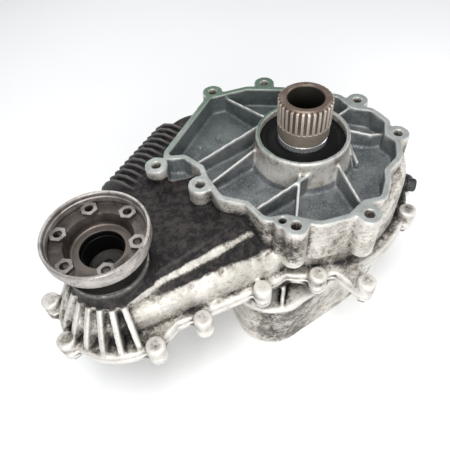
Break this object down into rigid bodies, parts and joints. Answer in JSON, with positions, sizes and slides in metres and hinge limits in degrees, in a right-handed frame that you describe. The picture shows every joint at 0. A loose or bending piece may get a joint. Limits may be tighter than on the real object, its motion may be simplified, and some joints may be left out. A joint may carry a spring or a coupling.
{
  "type": "transfer case",
  "caption": "Cast transfer case with a splined input hub, a chain drive to a flanged front output and a planetary centre differential driving a flanged rear output.",
  "frame": {"origin": "on the input axis, in the plane of the gearbox mounting face", "axes": "+Z runs out of the input hub towards the gearbox; -X points at the front output axis; the case stands on the foot of its rear pot"},
  "size_m": [0.4728, 0.3636, 0.267],
  "materials": {
    "case": "die-cast, weathered, oil-stained",
    "hub": "hardened, lightly heat-tinted",
    "sleeve": "ground and polished",
    "seal": "black, oiled",
    "bearing": "ground",
    "gear": "hardened, oiled",
    "chain": "oiled",
    "flange": "forged, dark, light rust, machined rim",
    "circlip": "blackened spring steel",
    "shield": "pressed sheet, blackened",
    "bolt": "zinc-coated, dulled",
    "magnet": "sintered ferrite",
    "plug": "machined",
    "breather": "moulded, black",
    "bush": "plain bearing bronze"
  },
  "bodies": {
    "case": {"front_case": "case", "rear_case": "case", "input_seal": "seal", "input_bearing_outer_race": "bearing", "front_output_seal": "seal", "front_output_bearing_outer_race": "bearing", "front_shaft_tail_bearing_outer_race": "bearing", "rear_output_seal": "seal", "rear_output_bearing_outer_race": "bearing", "drive_chain": "chain", "case_bolts": "bolt", "case_dowels": "bolt", "chip_magnet": "magnet", "fill_plug": "plug", "drain_plug": "plug", "breather": "breather"},
    "front_drive": {"drive_sprocket": "gear", "sun_gear": "gear"},
    "input": {"input_hub": "hub", "input_seal_sleeve": "sleeve", "input_bearing_inner_race": "bearing", "input_bearing_balls": "bearing", "planet_carrier": "gear", "planet_pins": "bearing", "sprocket_needle_rollers": "bearing"},
    "planet_1": {"planet_gear_1": "gear"},
    "planet_2": {"planet_gear_2": "gear"},
    "planet_3": {"planet_gear_3": "gear"},
    "planet_4": {"planet_gear_4": "gear"},
    "rear_drive": {"ring_gear": "gear", "rear_output_shaft": "gear", "rear_output_flange": "flange", "rear_output_bearing_inner_race": "bearing", "rear_output_bearing_rollers": "bearing", "pilot_bush": "bush"},
    "front_output": {"driven_sprocket": "gear", "front_output_shaft": "gear", "front_output_flange": "flange", "front_flange_circlip": "circlip", "front_dust_shield": "shield", "front_output_bearing_inner_race": "bearing", "front_output_bearing_balls": "bearing", "front_shaft_tail_bearing_inner_race": "bearing", "front_shaft_tail_bearing_rollers": "bearing"}
  },
  "joints": [
    {"name": "front_drive_spin", "type": "hinge", "parent": "case", "child": "front_drive", "pos_m": [0, 0, 0], "axis": [0, 0, 1], "continuous": true},
    {"name": "input_spin", "type": "hinge", "parent": "front_drive", "child": "input", "pos_m": [0, 0, 0], "axis": [0, 0, 1], "continuous": true},
    {"name": "rear_output_spin", "type": "hinge", "parent": "front_drive", "child": "rear_drive", "pos_m": [0, 0, 0], "axis": [0, 0, 1], "continuous": true},
    {"name": "planet_1_spin", "type": "hinge", "parent": "input", "child": "planet_1", "pos_m": [0.04, 0, 0], "axis": [0, 0, 1], "continuous": true},
    {"name": "planet_2_spin", "type": "hinge", "parent": "input", "child": "planet_2", "pos_m": [0, 0.04, 0], "axis": [0, 0, 1], "continuous": true},
    {"name": "planet_3_spin", "type": "hinge", "parent": "input", "child": "planet_3", "pos_m": [-0.04, 0, 0], "axis": [0, 0, 1], "continuous": true},
    {"name": "planet_4_spin", "type": "hinge", "parent": "input", "child": "planet_4", "pos_m": [0, -0.04, 0], "axis": [0, 0, 1], "continuous": true},
    {"name": "front_output_spin", "type": "hinge", "parent": "case", "child": "front_output", "pos_m": [-0.25, 0, 0], "axis": [0, 0, 1], "continuous": true}
  ],
  "couplings": [
    {"joint": "rear_output_spin", "follows": "input_spin", "ratio": 1.6667},
    {"joint": "front_output_spin", "follows": "front_drive_spin", "ratio": 1},
    {"joint": "planet_1_spin", "follows": "input_spin", "ratio": 4},
    {"joint": "planet_2_spin", "follows": "input_spin", "ratio": 4},
    {"joint": "planet_3_spin", "follows": "input_spin", "ratio": 4},
    {"joint": "planet_4_spin", "follows": "input_spin", "ratio": 4}
  ]
}
